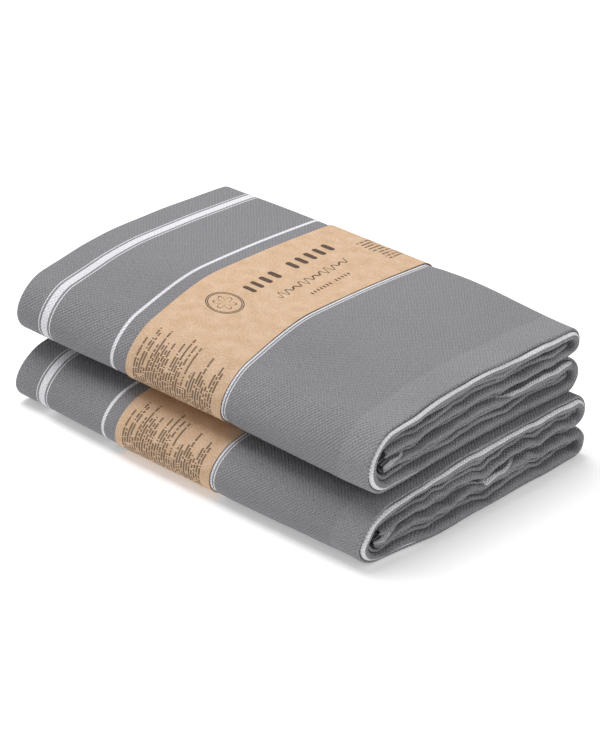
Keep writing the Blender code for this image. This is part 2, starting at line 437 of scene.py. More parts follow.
@dataclass
class FoldedSheet:
    """One towel as a sheet folded in five along its length, then wrapped round the pack.

    For every station the folded sheet's middle is a line in x and depth: a panel, a half
    turn, the next panel and so on.  Its two faces lie half the cloth's thickness to each
    side of that line, and the pack's stations then carry both faces round.
    """

    form: PackForm
    panels: int = 5
    cloth: float = 1.5 * MM
    hem: float = 2.3 * MM
    hem_width: float = 27 * MM
    hem_round: float = 1.2 * MM
    edge_round: float = 0.9 * MM
    fold_rows: int = 8
    inner_room: float = 0.35 * MM
    snug_gap: float = 0.14 * MM
    weave_slide: float = 8 * MM
    line_to_fold: float = 2.6 * MM
    row_length: Array = field(init=False)

    @property
    def look(self) -> EndLook:
        """How this towel's open end lies."""
        return END_LOOKS[self.form.tier]

    def wander(self, place: Array, index: int, waves: Sequence[float]) -> Array:
        """Smooth wander with this towel's own seed and one more number."""
        return ripple(place, self.look.seed * 100 + index, waves)

    def lift(self, place: Array, index: int, waves: Sequence[float]) -> Array:
        """The same wander, kept between about 0 and 1."""
        return 0.5 + 0.5 * self.wander(place, index, waves)

    def tips(self, at: Stations) -> list[Array]:
        """How far from the pack's middle each end and fold of the sheet reaches.

        Args:
            at: The stations.

        Returns:
            Reach of the first hem, the four folds in order, and the last hem.
        """
        half = self.form.half_length
        way = at.travel
        front = ease(-at.middle_y, 40 * MM, 110 * MM)
        retreat = self.look.front_retreat * front * (1 - 0.4 * at.upper)
        back = ease(at.middle_y, 40 * MM, 105 * MM)
        open_low = at.flap * (1 - at.upper) * ease(at.middle_y, 5 * MM, 45 * MM)
        hem = 2.8 * MM + 1.0 * MM * self.lift(way, 1, (0.14, 0.06)) + 2 * MM * open_low
        hem = hem + at.flap * (2.2 * MM + 2 * MM * self.lift(way, 2, (0.11, 0.05)))
        first = 0.3 * MM + 1.2 * MM * self.lift(way, 3, (0.16, 0.07))
        first = first + at.flap * 2 * MM * self.lift(way, 4, (0.12, 0.06))
        deep = 3 * MM + 3.5 * MM * self.lift(way, 5, (0.15, 0.07)) + 1.5 * MM * back
        deep = deep + 0.6 * self.look.pucker * self.lift(way, 6, (0.021, 0.016))
        closed = 0.6 * MM * self.lift(way, 7, (0.12, 0.05))
        second = 2.5 * MM + 2 * MM * self.lift(way, 8, (0.09, 0.04))
        last = 6 * MM + 3 * MM * self.lift(way, 9, (0.1, 0.045))
        shortfalls = (hem + retreat, closed, first + retreat, second, deep + retreat, last)
        return [half - shortfall for shortfall in shortfalls]

    def lean(self, way: Array) -> Array:
        """Share of the spare room that opens the second fold rather than the fourth."""
        return 0.82 + 0.16 * np.clip(1.5 * self.wander(way, 20, (0.26, 0.13)), -1, 1)

    def faces_depth(self, x: Array, at: Stations) -> list[Array]:
        """Depth of each panel's outer face at given x and stations.

        The stack is even inside the pack.  Towards the open end the first and third gaps
        close and the others open, which fattens the folds in turn.

        Args:
            x: x values, the last axis being the station.
            at: The stations.

        Returns:
            One array for each panel, from the outermost in.
        """
        half, edge = self.form.half_length, self.form.band_edge
        way = at.travel
        end = ease(x, half - 70 * MM, half - 10 * MM)
        extra, seam = self.hem - self.cloth, half - self.hem_width
        hem = extra * ease(x, seam - 1.2 * MM, seam + 0.8 * MM)
        last_hem = extra * ease(-x, seam - 1.2 * MM, seam)
        room = self.form.loop_skin - self.inner_room - self.panels * self.cloth
        even = (room - 0.9 * MM) / (self.panels - 1)
        spare = room - extra - 2 * self.snug_gap
        lean = self.lean(way)
        gaps = (self.snug_gap, spare * lean, self.snug_gap, spare * (1 - lean))
        swell = self.form.swell * at.share * ease(x, edge + 4 * MM, edge + 11 * MM)
        right = ease(x, edge + 3 * MM, edge + 39 * MM) * (1 - 0.8 * ease(x, edge + 39 * MM, half))
        uneven = 0.8 + 0.2 * self.wander(way, 21, (0.2, 0.09))
        puff = self.look.bulge * at.share * at.upper * right * uneven
        wrinkle = ripple(x * 0.8 + way * 0.6, self.look.seed + 5, (0.17, 0.083))
        dent = 0.35 * MM * at.share * (0.5 + 0.5 * wrinkle)
        skin = dent - swell - puff
        depth = skin
        faces = [depth]
        for index, gap in enumerate(gaps):
            step = even + (gap - even) * end - skin / (self.panels - 1)
            depth = depth + self.cloth + step + (hem if index == 0 else 0.0) - last_hem / (self.panels - 1)
            faces.append(depth)
        return faces

    def _panel(self, index: int, at: Stations, tips: list[Array]) -> tuple[Array, Array, Array]:
        """x, middle depth and thickness of one panel, without its folds.

        Rows lie closest at the ends, the hem and the last fold, and are spread between.

        Args:
            index: Which panel, from the outermost.
            at: The stations.
            tips: What tips() gave.

        Returns:
            Three arrays of rows by stations.
        """
        half = self.form.half_length
        side = 1.0 if index % 2 == 0 else -1.0
        outermost, innermost = index == 0, index == self.panels - 1
        ends = []
        for tip_index, end_side in ((index, side), (index + 1, -side)):
            reach = tips[tip_index]
            if 0 < tip_index < self.panels:
                reach = reach - self._fold_radius(tip_index, at, reach) - self.cloth / 2
            ends.append(end_side * reach)
        open_rows = ((0, 45, 8), (45, 70, 3))
        if outermost:
            open_rows = ((0, 1.2, 4), (1.2, 24.5, 8), (24.5, 30, 6), (30, 70, 11))
        closed_rows = ((70, 30, 3), (30, 0, 5))
        if innermost:
            closed_rows = ((70, 30, 3), (30, 1.2, 6), (1.2, 0, 4))
        middle_rows = ((70, 2 * half / MM - 70, 17 if outermost else 5),)
        from_open = spread(*open_rows) * MM
        middle = spread(*middle_rows)[1:-1] * MM
        from_closed = spread(*closed_rows) * MM
        nominal = np.concatenate([half - from_open, half - middle, -half + from_closed])
        if side < 0:
            nominal = nominal[::-1]
        low, high = ends[::-1] if side > 0 else ends
        pull_high = (high - half) * ease(nominal, 80 * MM, half)[:, None]
        pull_low = (low + half) * ease(-nominal, 80 * MM, half)[:, None]
        x = nominal[:, None] + pull_high + pull_low
        thickness = np.full_like(x, self.cloth)
        full = thickness
        if outermost or innermost:
            inside = high - x if outermost else x - low
            thickness = self.hem_thickness(inside)
            full = self.hem_thickness(np.clip(inside, self.hem_round, None))
        depth = self.faces_depth(x, at)[index] + full / 2
        return x, depth, thickness

    def hem_thickness(self, inside: Array) -> Array:
        """Cloth thickness at a distance in from a hemmed end.

        The end is a half round, the turned hem is thick, it is pinched by its seam, and
        the single cloth follows.

        Args:
            inside: Distance in from the end.

        Returns:
            Thickness.
        """
        past_seam = ease(inside, self.hem_width - 0.8 * MM, self.hem_width + 1.2 * MM)
        hem = self.hem - (self.hem - self.cloth) * past_seam
        pinch = 0.45 * MM * np.exp(-(((inside - self.hem_width) / (0.8 * MM)) ** 2))
        from_tip = np.clip(inside / self.hem_round, 0.004, 1)
        round_end = np.sqrt(np.clip(1 - (1 - from_tip) ** 2, 0, 1))
        return (hem - pinch) * round_end

    def _fold_faces(self, fold: int, at: Stations, reach: Array) -> tuple[Array, Array]:
        """Depths of the outer faces of the two panels that a fold joins, near the fold."""
        side = -1.0 if fold % 2 else 1.0
        depths = self.faces_depth(side * (reach - 2 * self.cloth), at)
        return depths[fold - 1], depths[fold]

    def _fold_radius(self, fold: int, at: Stations, reach: Array) -> Array:
        """Radius of a fold's middle line."""
        outer, inner = self._fold_faces(fold, at, reach)
        return (inner - outer) / 2

    def _fold(self, fold: int, at: Stations, tips: list[Array]) -> tuple[Array, Array, Array]:
        """x, middle depth and thickness round one fold: a half turn between two panels."""
        side = -1.0 if fold % 2 else 1.0
        reach = tips[fold]
        outer, inner = self._fold_faces(fold, at, reach)
        radius = (inner - outer) / 2
        middle = (inner + outer + self.cloth) / 2
        turn = np.linspace(-0.5, 0.5, self.fold_rows + 2)[1:-1, None] * math.pi
        x = side * (reach - radius - self.cloth / 2 + radius * np.cos(turn))
        depth = middle + radius * np.sin(turn)
        return x, depth, np.full_like(x, self.cloth)

    def parts(self, at: Stations) -> list[tuple[Array, Array, Array]]:
        """Every panel and fold in order, each as x, middle depth and thickness."""
        tips = self.tips(at)
        found = [self._panel(0, at, tips)]
        for index in range(1, self.panels):
            found.append(self._fold(index, at, tips))
            found.append(self._panel(index, at, tips))
        return found

    def outline(self, at: Stations) -> tuple[Array, Array, Array]:
        """x, middle depth and thickness of the whole sheet, rows by stations."""
        x, depth, thickness = (np.concatenate(column) for column in zip(*self.parts(at)))
        return x, depth, thickness

    def settle(self, points: Array) -> Array:
        """Give the pack its soft unevenness and slumped front, and place it in the stack.

        Heights shift by a wave in x and y times 4s(1-s), where s is the share of the
        pack's height, so layers stay in order and its top and base keep their place.  A
        fall towards the closed end grows with s squared.  Then the front is drawn back,
        flattened and lowered by what slump() gives, and the open end's back is tucked in.

        Args:
            points: Points in the pack's own frame.

        Returns:
            Points in the frame.
        """
        look, half = self.look, self.form.half_length
        moved = points.copy()
        x, y, z = (moved[..., axis] for axis in range(3))
        share = np.clip(z / (2 * self.form.middle), 0, 1)
        near_end = ease(x, half - 90 * MM, half - 5 * MM)
        wave = self.wander(y + 0.35 * x, 30, (0.11, 0.058)) * look.wave
        small = self.wander(y - 0.5 * x + 0.3 * z, 31, (0.034, 0.021)) * look.pucker
        lift = (wave + small) * near_end * 4 * share * (1 - share)
        fall = look.fall * ease(-x, 80 * MM, half + 10 * MM) * share**2
        z = z + lift - fall
        taper, setback, droop = self.slump(x)
        base_share = look.base_share + (1 - look.base_share) * share
        y_new = y + setback * ease(-y, *look.setback_run) * base_share
        tuck = look.tuck * ease(x, 60 * MM, half) * ease(y, 20 * MM, 127 * MM)
        moved[..., 1] = y_new - tuck
        lowered = droop * ease(-y_new, *look.droop_run)
        moved[..., 2] = z * (1 - taper * ease(-y, *look.taper_run)) - lowered
        return self.form.settle(moved)

    def slump(self, x: Array) -> tuple[Array, Array, Array]:
        """How far the front nose is flattened, drawn back and lowered at each x.

        The front fold holds half as many layers as the rest, so it slumps; the band
        draws it in most.

        Args:
            x: x values.

        Returns:
            The share of height lost at the front, how far the front is drawn back, and
            how far it is lowered.
        """
        half = self.form.half_length
        edge = self.form.band_edge
        knots = np.array([-half, edge - 81 * MM, edge - 11 * MM, half - 10 * MM])
        read = []
        for closed, band, end in (self.look.taper, self.look.setback, self.look.droop):
            values = np.array([closed, band, band, end])
            place = np.interp(x, knots, np.arange(4))
            step = np.floor(np.clip(place, 0, 2.999)).astype(int)
            part = ease(place - step, 0.0, 1.0)
            read.append(values[step] * (1 - part) + values[step + 1] * part)
        return read[0], read[1], read[2]

    def build(self) -> bpy.types.Object:
        """Make the cloth as one closed mesh, with its flat coordinates as UVs."""
        at = WrapPath(self.form).stations()
        x, depth, thickness = self.outline(at)
        from_end = np.minimum(at.travel, at.travel[-1] - at.travel)
        from_tip = np.clip(from_end / self.edge_round, 0.02, 1)
        thickness = thickness * np.sqrt(np.clip(1 - (1 - from_tip) ** 2, 0, 1))
        step = np.stack([np.diff(x, axis=0), np.diff(depth, axis=0)])
        step /= np.maximum(np.linalg.norm(step, axis=0), 1e-9)
        before = np.concatenate([step[:, :1], step], axis=1)
        after = np.concatenate([step, step[:, -1:]], axis=1)
        along = before + after
        along /= np.maximum(np.linalg.norm(along, axis=0), 1e-9)
        faces = []
        for sign in (1.0, -1.0):
            face_x = x + sign * along[1] * thickness / 2
            face_depth = depth - sign * along[0] * thickness / 2
            faces.append(self.settle(at.place(face_x, face_depth)))
        rows, columns = x.shape
        middle = columns // 4
        length = np.hypot(np.diff(x[:, middle]), np.diff(depth[:, middle]))
        self.row_length = np.concatenate([[0.0], np.cumsum(length)])
        place = self.row_length[:, None] + self.skew(self.row_length)[:, None] * self.hidden(at)[None, :]
        flat = np.stack(np.broadcast_arrays(place, at.travel[None, :]), axis=-1)
        points = np.concatenate([face.reshape(-1, 3) for face in faces])
        quads = shell_faces(rows, columns)
        flats = np.tile(flat.reshape(-1, 2), (2, 1))
        name = self.form.tier.value + "_towel"
        piece = add_mesh(name, points, quads, flats)
        LOG.info("%s: %d rows by %d stations, flat length %.3f m", name, rows, columns, self.row_length[-1])
        return piece

    def skew(self, row_length: Array) -> Array:
        """How far the weave may slide at each row: most at the second fold, 0 far from it."""
        panel = row_length[-1] / self.panels
        from_fold = np.abs(row_length - 2 * panel)
        return self.weave_slide * (1 - ease(from_fold, 0.15 * panel, 0.8 * panel))

    def hidden(self, at: Stations) -> Array:
        """1 where the line at the second fold lies out of sight between the layers.

        It shows all along the upper run and round the front.  Inside, it shows only on
        the lower flap: at the back of the upper towel, and over a short way of the lower.
        """
        low = 1 - at.upper
        shown = ease(at.middle_y, 12 * MM, 50 * MM)
        if self.form.tier is Tier.LOWER:
            shown = ease(at.middle_y, -5 * MM, 12 * MM) * (1 - ease(at.middle_y, 30 * MM, 48 * MM))
        from_selvedge = np.minimum(at.travel, at.travel[-1] - at.travel)
        end = ease(from_selvedge, 8 * MM, 24 * MM)
        inside = at.flap * (1 - low * shown) * np.maximum(end, at.upper)
        under = at.share * low * ease(at.middle_y, -75 * MM, -45 * MM)
        return np.maximum(inside, under)

    def stripe_place(self) -> float:
        """Flat place of the line woven just before the second fold's outermost point."""
        before = self.parts(WrapPath(self.form).stations())[:3]
        rows_before = sum(len(x) for x, _, _ in before)
        return float(self.row_length[rows_before + self.fold_rows // 2]) - self.line_to_fold


@dataclass
class HemStitches:
    """A line of small stitches along one hem, each a capsule lying on the cloth."""

    sheet: FoldedSheet
    inner: bool
    pitch: float = 3.4 * MM
    length: float = 2.7 * MM
    half_width: float = 0.27 * MM
    half_height: float = 0.2 * MM
    sunk: float = 0.06 * MM
    around: int = 6
    rings: int = 5

    def build(self) -> bpy.types.Object:
        """Make the stitches as one mesh of closed capsules."""
        path = WrapPath(self.sheet.form)
        total = path.stations().travel[-1]
        centres = np.arange(2 * MM, total - 2 * MM, self.pitch)
        ring = np.linspace(0.06, 0.94, self.rings)
        turn = np.linspace(0, 2 * math.pi, self.around, endpoint=False)
        along = -np.cos(ring * math.pi)[:, None] * self.length / 2
        wide = np.sin(ring * math.pi)[:, None] ** 0.6
        shape = (len(centres), self.rings, self.around)
        travel = np.broadcast_to(centres[:, None, None] + along, shape)
        side = np.broadcast_to(wide * np.cos(turn) * self.half_width, shape)
        out = np.broadcast_to(wide * np.sin(turn) * self.half_height, shape)
        at = path.at(travel.ravel())
        half = self.sheet.form.half_length
        seam = -(half - self.sheet.hem_width) if self.inner else half - self.sheet.hem_width
        x = seam + side.ravel()
        faces = self.sheet.faces_depth(np.full_like(x, seam), at)
        if self.inner:
            thickness = self.sheet.hem_thickness(np.full_like(x, self.sheet.hem_width))
            depth = faces[-1] + thickness - self.sunk + self.half_height + out.ravel()
        else:
            depth = faces[0] + self.sunk - self.half_height - out.ravel() + 0.45 * MM / 2
        points = self.sheet.settle(at.place(x, depth))
        name = self.sheet.form.tier.value + ("_inner" if self.inner else "_outer") + "_hem_stitches"
        piece = add_mesh(name, points, self._quads(len(centres)))
        LOG.info("%s: %d stitches", name, len(centres))
        return piece

    def _quads(self, count: int) -> Array:
        """Side quads and two caps for each capsule."""
        number = np.arange(self.rings * self.around).reshape(self.rings, self.around)
        a, d = number[:-1], number[1:]
        b, c = np.roll(a, -1, axis=1), np.roll(d, -1, axis=1)
        sides = np.stack([a, b, c, d], axis=-1).reshape(-1, 4)
        ends = []
        for ring, order in ((number[0], 1), (number[-1], -1)):
            ends += [ring[[0, 3, 2, 1]][::order], ring[[0, 5, 4, 3]][::order]]
        one = np.concatenate([sides, np.array(ends)])
        return (one[None] + np.arange(count)[:, None, None] * self.rings * self.around).reshape(-1, 4)


# ---------------------------------------------------------------- band, glue and label


def offset_curve(line: Array, distance: Array | float) -> Array:
    """Shift points in y and z sideways, to the right of the way along the line."""
    step = np.diff(line, axis=0)
    step /= np.linalg.norm(step, axis=1, keepdims=True)
    before, after = np.concatenate([step[:1], step]), np.concatenate([step, step[-1:]])
    along = before + after
    along /= np.linalg.norm(along, axis=1, keepdims=True)
    return line + np.stack([along[:, 1], -along[:, 0]], axis=1) * np.reshape(distance, (-1, 1))


def line_travel(line: Array) -> Array:
    """Distance along a polyline at each of its points."""
    return np.concatenate([[0.0], np.cumsum(np.linalg.norm(np.diff(line, axis=0), axis=1))])


def arc_points(
    y: float, z: float, start: float, end: float, steps: int, reach_y: float, reach_z: float
) -> Array:
    """Points of an elliptical arc in y and z; angles count in right angles from +Y."""
    angle = np.linspace(start, end, steps + 1) * math.pi / 2
    return np.stack([y + reach_y * np.cos(angle), z + reach_z * np.sin(angle)], axis=1)


@dataclass
class BellyBand:
    """Kraft strip carried once round a towel, its two ends lapped at the back."""

    sheet: FoldedSheet
    paper: float = 0.34 * MM
    clearance: float = 0.3 * MM
    cad_paper: float = 0.4 * MM
    margin: float = 3 * MM
    lift: float = 0.07 * MM
    wander_seed: int = 12
    columns: int = 25
    flap_points: int = 8
    run_points: int = 40
    back_steps: int = 12

    def line(self) -> Array:
        """Middle line of the paper in y and z, from its inner flap to its outer one."""
        form = self.sheet.form
        out = self.clearance + self.cad_paper / 2
        loop, spine = form.loop_skin + out, form.spine_skin + out
        rise = form.spine_skin - form.loop_skin
        low, high = form.middle - rise, form.middle + rise
        runs = np.linspace(form.loop_y, form.spine_y, self.run_points + 2)[1:-1]
        count, back_y = self.flap_points, form.loop_y + loop
        down = np.linspace(high - self.margin, low, count + 1)[:-1]
        inner_flap = np.stack([np.full(count, back_y), down], axis=1)
        down = np.linspace(high, low + self.margin, count + 1)[1:]
        outer_flap = np.stack([np.full(count, back_y + form.lap), down], axis=1)
        return np.concatenate(
            [
                inner_flap,
                arc_points(form.loop_y, low, 0, -1, self.back_steps, loop, loop),
                np.stack([runs, np.full_like(runs, form.middle - spine)], axis=1),
                arc_points(form.spine_y, form.middle, -1, -3, 32, spine, spine),
                np.stack([runs[::-1], np.full_like(runs, form.middle + spine)], axis=1),
                arc_points(form.loop_y, high, 1, 0, self.back_steps, loop + form.lap, loop),
                outer_flap,
            ]
        )

    def build(self) -> bpy.types.Object:
        """Make the band with its flat coordinates as UVs: x, and distance past the front.

        The second coordinate equals y on the top run and goes on round both ends.
        """
        form = self.sheet.form
        low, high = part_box(form.tier.value + "_paper_band")
        x = np.linspace(low.x, high.x, self.columns) - form.centre_x
        line = self.line()
        travel = line_travel(line)
        top_start = len(line) - self.flap_points - (self.back_steps + 1) - self.run_points
        flat_y = travel - travel[top_start] + line[top_start, 0]
        waver = self.lift * ripple(travel[:, None] + 0.7 * x[None, :], self.wander_seed, (0.06, 0.034, 0.021))
        grids = []
        for sign in (1.0, -1.0):
            shift = sign * self.paper / 2 + waver
            columns = [offset_curve(line, shift[:, column]) for column in range(self.columns)]
            yz = np.stack(columns, axis=1)
            grid = np.concatenate([np.broadcast_to(x[None, :, None], (*yz.shape[:2], 1)), yz], axis=-1)
            grids.append(self.sheet.settle(grid))
        flat = np.stack(np.broadcast_arrays((x - x.mean())[None, :], flat_y[:, None]), axis=-1).reshape(-1, 2)
        points = np.concatenate([grid.reshape(-1, 3) for grid in grids])
        name = form.tier.value + "_belly_band"
        piece = add_mesh(name, points, shell_faces(len(line), self.columns), np.tile(flat, (2, 1)))
        LOG.info("%s: %.0f mm round, %.0f mm wide", name, travel[-1] / MM, (high.x - low.x) / MM)
        return piece

    def build_glue(self) -> bpy.types.Object:
        """Make the thin strip of glue between the two flaps, with an uneven outline."""
        form = self.sheet.form
        low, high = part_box(form.tier.value + "_band_glue")
        rows, columns = 14, 30
        up, across = np.meshgrid(np.linspace(0, 1, rows), np.linspace(0, 1, columns), indexing="ij")
        x = low.x + (high.x - low.x) * (0.012 + 0.976 * across)
        inset = 0.05 + 0.04 * ripple(x, 77, (0.021, 0.013))
        z = low.z + (high.z - low.z) * (inset + (1 - 2 * inset) * up)
        rim_up = np.sqrt(np.clip(1 - (2 * up - 1) ** 4, 0.02, 1))
        rim = rim_up * np.sqrt(np.clip(1 - (2 * across - 1) ** 8, 0.02, 1))
        half = 0.42 * (high.y - low.y) * rim
        middle = (low.y + high.y) / 2
        faces = [np.stack([x, middle + sign * half, z], axis=-1).reshape(-1, 3) for sign in (1, -1)]
        piece = add_mesh(form.tier.value + "_glue_strip", np.concatenate(faces), shell_faces(rows, columns))
        LOG.info("%s: %.0f mm long", piece.name, (high.x - low.x) / MM)
        return piece


@dataclass
class CareLabel:
    """Small satin label, folded over, that hangs from the upper selvedge inside."""

    sheet: FoldedSheet
    satin: float = 0.2 * MM
    loop: float = 0.6 * MM
    reach: float = 10 * MM

    def build(self) -> bpy.types.Object:
        """Make the label with flat coordinates as UVs: x, and distance along its loop."""
        form = self.sheet.form
        low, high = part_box(form.tier.value + "_care_label")
        centre_z = form.middle + 1.2 * MM
        start_y = form.flap_y - 0.3 * MM
        turn_y = start_y - self.reach + self.loop
        straight = np.linspace(start_y, turn_y, 9)[:-1]
        upper = np.stack([straight, np.full(8, centre_z + self.loop)], axis=1)
        lower = np.stack([straight[::-1], np.full(8, centre_z - self.loop)], axis=1)
        line = np.concatenate([upper, arc_points(turn_y, centre_z, 1, 3, 8, self.loop, self.loop), lower])
        travel = line_travel(line)
        x = np.linspace(low.x + 0.05 * MM, high.x - 0.05 * MM, 15) - form.centre_x
        sag = 0.12 * MM * ripple(x, 5, (0.03, 0.017))[None, :] * np.sin(travel / travel[-1] * math.pi)[:, None]
        faces = []
        for sign in (1.0, -1.0):
            yz = offset_curve(line, sign * self.satin / 2)
            grid = np.stack(np.broadcast_arrays(x[None, :], yz[:, :1], yz[:, 1:]), axis=-1).copy()
            grid[..., 2] += sag
            faces.append(self.sheet.settle(grid).reshape(-1, 3))
        flat = np.stack(np.broadcast_arrays(x[None, :], travel[:, None]), axis=-1).reshape(-1, 2)
        name = form.tier.value + "_label"
        piece = add_mesh(name, np.concatenate(faces), shell_faces(len(line), 15), np.tile(flat, (2, 1)))
        LOG.info("%s: %.0f mm wide", name, (high.x - low.x) / MM)
        return piece


# ---------------------------------------------------------------- shader graphs


class Graph:
    """Adds nodes to one node tree and links their inputs, one short call for each."""

    def __init__(self, tree: bpy.types.NodeTree) -> None:
        """Work in one tree.

        Args:
            tree: The tree of a material or of a node group.
        """
        self.tree = tree

    def add(self, kind: str, inputs: dict[str | int, Feed] | None = None, **settings) -> bpy.types.Node:
        """Add a node, set its own settings, and set or link its inputs.

        Args:
            kind: The node's class name.
            inputs: Input names or numbers, each with a value or a socket to link from.
            **settings: Attributes of the node.

        Returns:
            The node.
        """
        node = self.tree.nodes.new(kind)
        for name, value in settings.items():
            setattr(node, name, value)
        for key, value in (inputs or {}).items():
            self.feed(node.inputs[key], value)
        return node

    def feed(self, socket: bpy.types.NodeSocket, value: Feed) -> None:
        """Link a socket from another, or set its own value."""
        if isinstance(value, bpy.types.NodeSocket):
            self.tree.links.new(value, socket)
        else:
            socket.default_value = value

    def math(self, operation: str, *values: Feed, clamp: bool = False) -> bpy.types.NodeSocket:
        """One math node; values are numbers or sockets."""
        node = self.add("ShaderNodeMath", dict(enumerate(values)), operation=operation, use_clamp=clamp)
        return node.outputs[0]

    def noise(self, vector: Feed, scale: float, detail: float = 2.0) -> bpy.types.NodeSocket:
        """Noise value around a half, at a number of features to the metre."""
        node = self.add("ShaderNodeTexNoise", {"Vector": vector, "Scale": scale, "Detail": detail})
        return node.outputs["Fac"]

    def mix(self, factor: Feed, first: Feed, second: Feed) -> bpy.types.NodeSocket:
        """Blend of two colours by a factor."""
        node = self.add("ShaderNodeMix", data_type="RGBA")
        for socket, value in zip((node.inputs[0], node.inputs[6], node.inputs[7]), (factor, first, second)):
            self.feed(socket, value)
        return node.outputs[2]

    def group(self, name: str, **inputs: Feed) -> bpy.types.Node:
        """Use one of the shared node groups, its inputs named with _ for spaces."""
        node = self.add("ShaderNodeGroup", node_tree=bpy.data.node_groups[name])
        for key, value in inputs.items():
            self.feed(node.inputs[key.replace("_", " ")], value)
        return node

    def flat(self) -> tuple[bpy.types.NodeSocket, bpy.types.NodeSocket, bpy.types.NodeSocket]:
        """The piece's flat coordinates: the vector, then its first and second parts."""
        vector = self.add("ShaderNodeUVMap", uv_map="flat").outputs[0]
        split = self.add("ShaderNodeSeparateXYZ", {0: vector})
        return vector, split.outputs[0], split.outputs[1]


def open_group(
    name: str, inputs: dict[str, float | None], outputs: Sequence[str]
) -> tuple[Graph, dict, bpy.types.Node]:
    """Start a node group that puts out values.

    Args:
        name: The group's name.
        inputs: Each input's name with its usual value; None marks a vector.
        outputs: Names of the outputs.

    Returns:
        The graph, the group's inputs by name, and the output node to feed.
    """
    tree = bpy.data.node_groups.new(name, "ShaderNodeTree")
    for key, value in inputs.items():
        kind = "NodeSocketVector" if value is None else "NodeSocketFloat"
        socket = tree.interface.new_socket(key, in_out="INPUT", socket_type=kind)
        if value is not None:
            socket.default_value = value
    for key in outputs:
        tree.interface.new_socket(key, in_out="OUTPUT", socket_type="NodeSocketFloat")
    graph = Graph(tree)
    given = graph.add("NodeGroupInput")
    return graph, {key: given.outputs[key] for key in inputs}, graph.add("NodeGroupOutput")


def make_line_group() -> None:
    """Line: 1 within half a width of a centre, with a soft edge."""
    inputs = {"Along": 0.0, "Centre": 0.0, "Width": 0.003, "Edge": 0.0003}
    graph, given, out = open_group("Line", inputs, ["Mask"])
    off = graph.math("ABSOLUTE", graph.math("SUBTRACT", given["Along"], given["Centre"]))
    inside = graph.math("SUBTRACT", graph.math("MULTIPLY", given["Width"], 0.5), off)
    share = graph.math("DIVIDE", inside, given["Edge"])
    graph.feed(out.inputs["Mask"], graph.math("ADD", share, 0.5, clamp=True))


def make_weave_group() -> None:
    """Weave: crossing yarns as height and shade, wandering a little with noise.

    Each yarn is a cosine ridge, and the two sets alternate over and under, so that the
    height is half of one plus the product of the two cosines.  Shade is fine random fibre
    tone plus painted shade: half the height, so the yarn tops are painted paler and the
    hollows between yarns darker.
    """
    inputs = {"Flat": None, "Pitch": 0.0014, "Wander": 0.9}
    graph, given, out = open_group("Weave", inputs, ["Height", "Shade"])
    split = graph.add("ShaderNodeSeparateXYZ", {0: given["Flat"]})
    drift = graph.math("SUBTRACT", graph.noise(given["Flat"], 260.0), 0.5)
    stray = graph.math("MULTIPLY", drift, given["Wander"])
    waves = []
    for axis in (0, 1):
        turns = graph.math("ADD", graph.math("DIVIDE", split.outputs[axis], given["Pitch"]), stray)
        waves.append(graph.math("COSINE", graph.math("MULTIPLY", turns, math.pi)))
    product = graph.math("MULTIPLY", *waves)
    height = graph.math("MULTIPLY_ADD", product, 0.5, 0.5)
    fuzz = graph.noise(given["Flat"], 900.0, 4.0)
    graph.feed(out.inputs["Height"], graph.math("MULTIPLY_ADD", fuzz, 0.6, height))
    # Shade: the fuzz is random fibre tone; the half height is painted shade, paler on yarn tops and darker in
    # the hollows.
    graph.feed(out.inputs["Shade"], graph.math("MULTIPLY_ADD", fuzz, 2.0, graph.math("MULTIPLY", height, 0.5)))


def make_mottle_group() -> None:
    """Mottle: broad and fine unevenness around 0, for colour."""
    graph, given, out = open_group("Mottle", {"Place": None, "Broad": 14.0, "Fine": 420.0}, ["Value"])
    broad = graph.math("SUBTRACT", graph.noise(given["Place"], given["Broad"], 3.0), 0.5)
    fine = graph.math("SUBTRACT", graph.noise(given["Place"], given["Fine"], 2.0), 0.5)
    graph.feed(out.inputs["Value"], graph.math("ADD", broad, graph.math("MULTIPLY", fine, 0.6)))


def make_dashes_group() -> None:
    """Dashes: rows of filler dashes, even at one end of each row and ragged at the other.

    Rows run along Along and are stacked along Across.  A row's length and the dashes'
    breaks come from cell noise, so that nothing can be read in them.
    """
    inputs = {"Along": 0.0, "Across": 0.0, "Length": 0.045, "Rows": 15.0, "Pitch": 0.005, "Size": 0.002}
    graph, given, out = open_group("Dashes", inputs, ["Mask"])
    row = graph.math("DIVIDE", given["Across"], given["Pitch"])
    number = graph.math("FLOOR", row)
    off = graph.math("ABSOLUTE", graph.math("SUBTRACT", graph.math("FRACT", row), 0.5))
    half = graph.math("MULTIPLY", given["Size"], 0.5)
    tall = graph.math("LESS_THAN", graph.math("MULTIPLY", off, given["Pitch"]), half)
    chance = graph.add("ShaderNodeTexWhiteNoise", {"W": number}, noise_dimensions="1D").outputs["Value"]
    reach = graph.math("MULTIPLY", given["Length"], graph.math("MULTIPLY_ADD", chance, 0.62, 0.38))
    started = graph.math("GREATER_THAN", given["Along"], 0.0)
    ended = graph.math("LESS_THAN", given["Along"], reach)
    first = graph.math("GREATER_THAN", number, -0.5)
    last = graph.math("LESS_THAN", number, graph.math("SUBTRACT", given["Rows"], 0.5))
    cell = graph.math("DIVIDE", given["Along"], graph.math("MULTIPLY", given["Size"], 0.62))
    place = graph.add("ShaderNodeCombineXYZ", {0: graph.math("FLOOR", cell), 1: number}).outputs[0]
    ink = graph.add("ShaderNodeTexWhiteNoise", {"Vector": place}, noise_dimensions="2D").outputs["Value"]
    gap = graph.math("GREATER_THAN", ink, 0.17)
    slit = graph.math("GREATER_THAN", graph.math("FRACT", cell), 0.2)
    mask = gap
    for other in (slit, tall, started, ended, first, last):
        mask = graph.math("MULTIPLY", mask, other)
    graph.feed(out.inputs["Mask"], mask)


